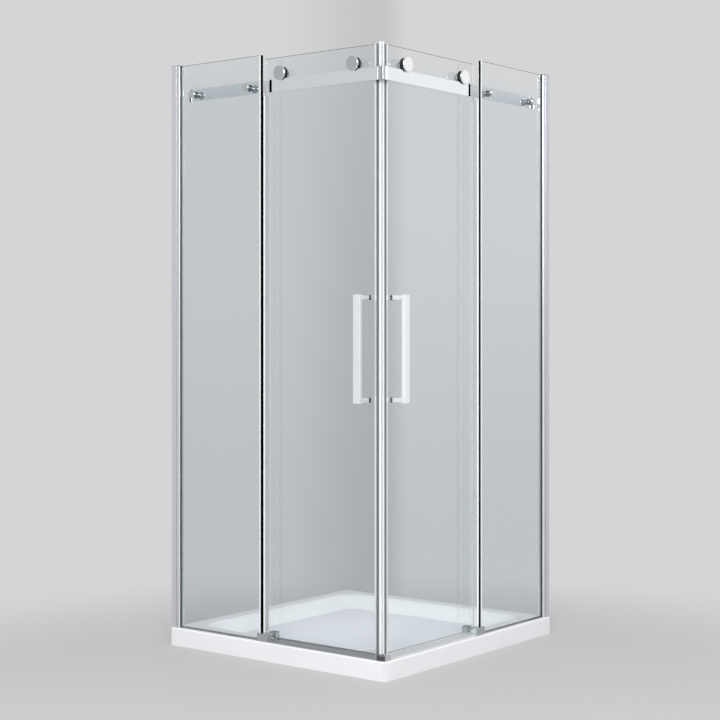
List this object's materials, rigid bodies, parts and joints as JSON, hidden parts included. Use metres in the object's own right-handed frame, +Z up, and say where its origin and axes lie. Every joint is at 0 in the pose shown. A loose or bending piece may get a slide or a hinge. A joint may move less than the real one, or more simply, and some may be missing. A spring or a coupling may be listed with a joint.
{
  "type": "shower enclosure",
  "caption": "Frameless corner entry shower enclosure with sliding glass doors on exposed rollers, polished rails, square bar handles and a low white tray.",
  "frame": {"origin": "centre of the tray's footprint on the floor", "axes": "+Z up, the near entry corner towards +X and -Y, the walls at -X and +Y"},
  "size_m": [0.9, 0.9, 1.895],
  "materials": {
    "tray_white": "gloss white",
    "clear_glass": "clear polished",
    "wall_aluminium": "polished anodised",
    "bright_aluminium": "bright polished",
    "chrome": "mirror",
    "steel": "plain",
    "black_nylon": "matt black",
    "black_rubber": "matt black",
    "dark_gasket": "matt dark grey",
    "clear_seal": "translucent",
    "magnet_white": "bright grey-white",
    "grey_plastic": "light grey"
  },
  "bodies": {
    "enclosure": {"shower_tray": "tray_white", "waste_cover": "tray_white", "wall_channel_left": "wall_aluminium", "adjusting_profile_left": "bright_aluminium", "fixed_glass_left": "clear_glass", "overlap_seal_left": "clear_seal", "rail_left": "chrome", "guide_block_left": "chrome", "threshold_left": "bright_aluminium", "wall_channel_right": "wall_aluminium", "adjusting_profile_right": "bright_aluminium", "fixed_glass_right": "clear_glass", "overlap_seal_right": "clear_seal", "rail_right": "chrome", "guide_block_right": "chrome", "threshold_right": "bright_aluminium", "profile_screws": "steel", "profile_caps": "grey_plastic", "glass_gaskets": "dark_gasket", "bottom_seals": "clear_seal", "rail_corner": "chrome", "rail_grub_screws": "steel", "standoff_caps": "chrome", "standoff_gaskets": "clear_seal", "standoff_barrels": "chrome", "rail_bolts": "steel", "rail_stops": "grey_plastic", "guide_liners": "clear_seal", "guide_screws": "steel", "threshold_joint": "bright_aluminium"},
    "door_left": {"door_glass_left": "clear_glass", "edge_profile_left": "bright_aluminium", "magnet_neck_left": "dark_gasket", "magnet_strip_left": "magnet_white", "roller_caps_left": "chrome", "roller_bolts_left": "steel", "roller_gaskets_left": "clear_seal", "roller_nuts_left": "chrome", "handle_left": "chrome", "handle_gaskets_left": "black_rubber", "handle_caps_left": "chrome"},
    "roller_front_left": {"wheel_front_left": "black_nylon", "bearing_front_left": "steel"},
    "roller_rear_left": {"wheel_rear_left": "black_nylon", "bearing_rear_left": "steel"},
    "door_right": {"door_glass_right": "clear_glass", "edge_profile_right": "bright_aluminium", "magnet_neck_right": "dark_gasket", "magnet_strip_right": "magnet_white", "roller_caps_right": "chrome", "roller_bolts_right": "steel", "roller_gaskets_right": "clear_seal", "roller_nuts_right": "chrome", "handle_right": "chrome", "handle_gaskets_right": "black_rubber", "handle_caps_right": "chrome"},
    "roller_front_right": {"wheel_front_right": "black_nylon", "bearing_front_right": "steel"},
    "roller_rear_right": {"wheel_rear_right": "black_nylon", "bearing_rear_right": "steel"}
  },
  "joints": [
    {"name": "left_door_slide", "type": "slide", "parent": "enclosure", "child": "door_left", "axis": [-1, 0, 0], "range_m": [0, 0.355]},
    {"name": "left_front_roller_spin", "type": "hinge", "parent": "door_left", "child": "roller_front_left", "pos_m": [0.294, -0.404, 1.83465], "axis": [0, -1, 0], "continuous": true},
    {"name": "left_rear_roller_spin", "type": "hinge", "parent": "door_left", "child": "roller_rear_left", "pos_m": [-0.002, -0.404, 1.83465], "axis": [0, -1, 0], "continuous": true},
    {"name": "right_door_slide", "type": "slide", "parent": "enclosure", "child": "door_right", "axis": [0, 1, 0], "range_m": [0, 0.355]},
    {"name": "right_front_roller_spin", "type": "hinge", "parent": "door_right", "child": "roller_front_right", "pos_m": [0.404, -0.294, 1.83465], "axis": [-1, 0, 0], "continuous": true},
    {"name": "right_rear_roller_spin", "type": "hinge", "parent": "door_right", "child": "roller_rear_right", "pos_m": [0.404, 0.002, 1.83465], "axis": [-1, 0, 0], "continuous": true}
  ],
  "couplings": [
    {"joint": "left_front_roller_spin", "follows": "left_door_slide", "rad_per_m": 57.143},
    {"joint": "left_rear_roller_spin", "follows": "left_door_slide", "rad_per_m": 57.143},
    {"joint": "right_front_roller_spin", "follows": "right_door_slide", "rad_per_m": 57.143},
    {"joint": "right_rear_roller_spin", "follows": "right_door_slide", "rad_per_m": 57.143}
  ]
}
